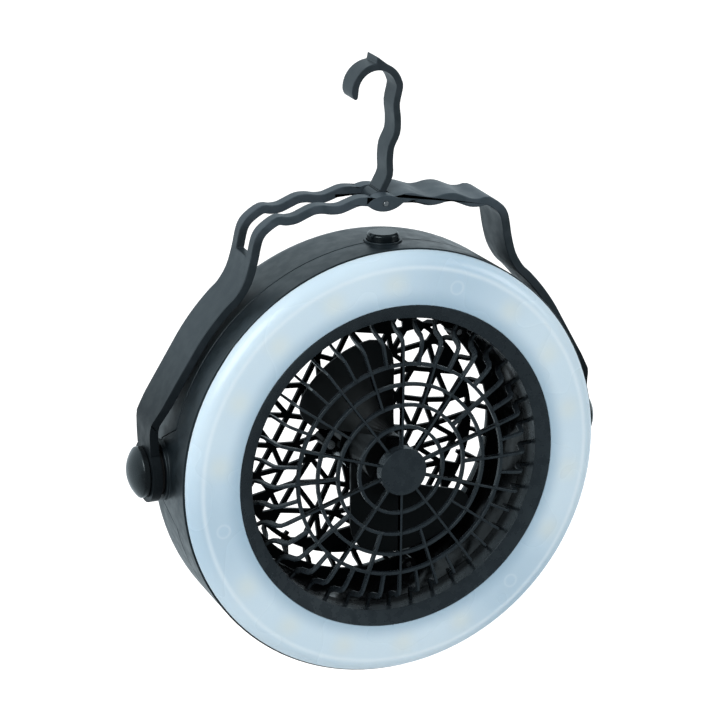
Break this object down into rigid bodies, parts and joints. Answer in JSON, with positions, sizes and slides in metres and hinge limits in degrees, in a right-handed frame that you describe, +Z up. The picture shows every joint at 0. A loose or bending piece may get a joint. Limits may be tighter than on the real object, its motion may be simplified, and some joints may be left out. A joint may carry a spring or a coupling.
{
  "type": "portable camping fan",
  "caption": "Round portable fan with a ring light around its grille, held between the ends of a wavy carrying handle that has a folding hook on top.",
  "frame": {"origin": "inside of the hook's curl at its highest point, where the part hangs, midway across the hook", "axes": "+Z up, the front with the grille and the ring light faces -Y, +X to the right as seen from the front"},
  "size_m": [0.22, 0.0624, 0.2694],
  "materials": {
    "housing_plastic": "black moulded plastic with a faint blue tinge, satin",
    "inner_plastic": "black moulded plastic, matte",
    "diffuser_plastic": "milky pale blue plastic, glossy",
    "grille_plastic": "black moulded plastic, satin",
    "blade_plastic": "black moulded plastic, satin",
    "button_plastic": "black plastic, glossy",
    "knob_plastic": "black plastic, glossy",
    "handle_plastic": "black moulded plastic, satin",
    "washer_rubber": "black rubber, matte",
    "screw_steel": "zinc plated steel",
    "pin_steel": "bright drawn steel",
    "motor_steel": "zinc plated steel can",
    "cell_case": "plain wrapped cell",
    "contact_nickel": "nickel plated spring steel",
    "board_laminate": "coated glass fibre board",
    "component_plastic": "black moulded plastic",
    "led_phosphor": "yellow phosphor"
  },
  "bodies": {
    "hook": {"hook": "handle_plastic"},
    "handle": {"handle": "handle_plastic", "hook_pin": "pin_steel"},
    "head": {"front_shell": "housing_plastic", "rear_shell": "housing_plastic", "diffuser_ring": "diffuser_plastic", "front_grille": "grille_plastic", "air_duct": "housing_plastic", "led_board": "board_laminate", "leds": "led_phosphor", "rear_grille": "grille_plastic", "motor": "motor_steel", "motor_clamp": "inner_plastic", "motor_screws": "screw_steel", "button_collar": "housing_plastic", "switch_body": "component_plastic", "control_board": "board_laminate", "board_components": "component_plastic", "board_screws": "screw_steel", "battery_box_left": "inner_plastic", "battery_box_right": "inner_plastic", "battery_cells": "cell_case", "battery_contacts": "contact_nickel", "battery_springs": "contact_nickel", "pivot_knob_left": "knob_plastic", "pivot_knob_right": "knob_plastic", "pivot_washers": "washer_rubber", "housing_screws": "screw_steel", "diffuser_screws": "screw_steel", "front_grille_screws": "screw_steel", "rear_grille_screws": "screw_steel"},
    "rotor": {"fan_rotor": "blade_plastic", "motor_shaft": "pin_steel"},
    "button": {"power_button": "button_plastic", "switch_plunger": "component_plastic"},
    "door_left": {"battery_door_left": "housing_plastic"},
    "door_right": {"battery_door_right": "housing_plastic"}
  },
  "joints": [
    {"name": "hook_fold", "type": "hinge", "parent": "hook", "child": "handle", "pos_m": [0, 0, -0.05511], "axis": [0, 1, 0], "range_deg": [0, 104]},
    {"name": "handle_tilt", "type": "hinge", "parent": "handle", "child": "head", "pos_m": [0, 0, -0.16671], "axis": [1, 0, 0], "range_deg": [-5, 180]},
    {"name": "fan_spin", "type": "hinge", "parent": "head", "child": "rotor", "pos_m": [0, -0.00003, -0.16751], "axis": [0, -0.9991, 0.0419], "continuous": true},
    {"name": "button_press", "type": "slide", "parent": "head", "child": "button", "axis": [0, -0.0419, -0.9991], "range_m": [0, 0.002], "stiffness_N_per_m": 600, "springref_m": -0.001},
    {"name": "door_left_off", "type": "slide", "parent": "head", "child": "door_left", "axis": [0, 0.9991, -0.0419], "range_m": [0, 0.02]},
    {"name": "door_right_off", "type": "slide", "parent": "head", "child": "door_right", "axis": [0, 0.9991, -0.0419], "range_m": [0, 0.02]}
  ]
}
